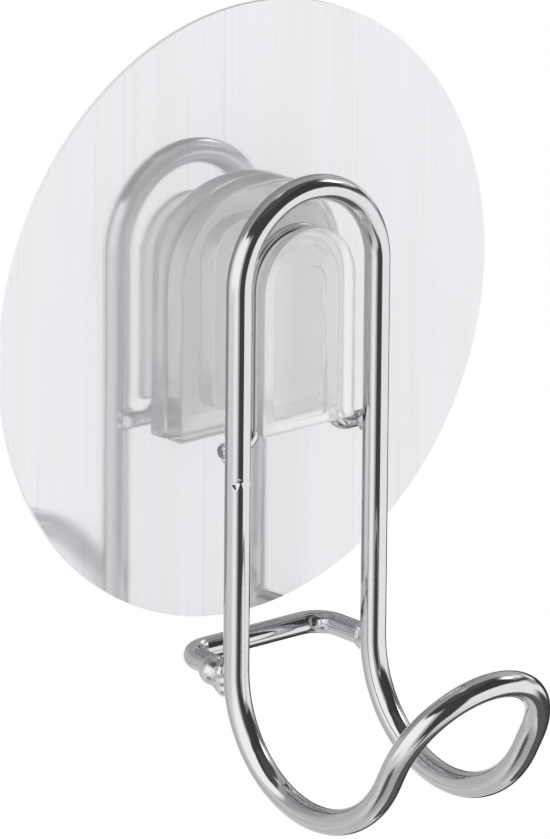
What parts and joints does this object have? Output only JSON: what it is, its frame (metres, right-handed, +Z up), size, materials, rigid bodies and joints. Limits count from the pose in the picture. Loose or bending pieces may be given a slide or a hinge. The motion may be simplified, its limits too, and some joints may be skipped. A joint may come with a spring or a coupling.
{
  "type": "wall hook",
  "caption": "Chromed wire wall hook with a J-shaped cradle, hanging by a wire bail on a clear moulded holder bonded to a thin round brushed disc that clings to a smooth wall.",
  "frame": {"origin": "centre of the round disc, on its back face, where it meets the wall", "axes": "+Z up along the wall, +Y into the wall, so the hook stands out along -Y; +X to the right seen from the front"},
  "size_m": [0.096, 0.0601, 0.1196],
  "materials": {
    "cling_film": "soft clear film, smooth and slightly tacky",
    "clear_sheet": "clear cut sheet",
    "brushed_film": "metallised film with a fine vertical brushed grain",
    "bond_adhesive": "milky adhesive pad",
    "clear_plastic": "clear injection moulding, slightly milky",
    "chromed_wire": "bright polished chrome on steel wire",
    "chromed_weld": "chrome plated over a small rough weld"
  },
  "bodies": {
    "wall_plate": {"wall_film": "cling_film", "carrier_sheet": "clear_sheet", "face_film": "brushed_film", "bond_pad": "bond_adhesive", "holder": "clear_plastic"},
    "hook": {"hook_wire": "chromed_wire", "butt_weld": "chromed_weld", "bail_wire": "chromed_wire", "bail_weld_left": "chromed_weld", "bail_weld_right": "chromed_weld", "standoff_wire": "chromed_wire", "standoff_weld_left": "chromed_weld", "standoff_weld_right": "chromed_weld"}
  },
  "joints": [
    {"name": "hook_lift", "type": "slide", "parent": "wall_plate", "child": "hook", "axis": [0, 0, 1], "range_m": [0, 0.031]}
  ]
}
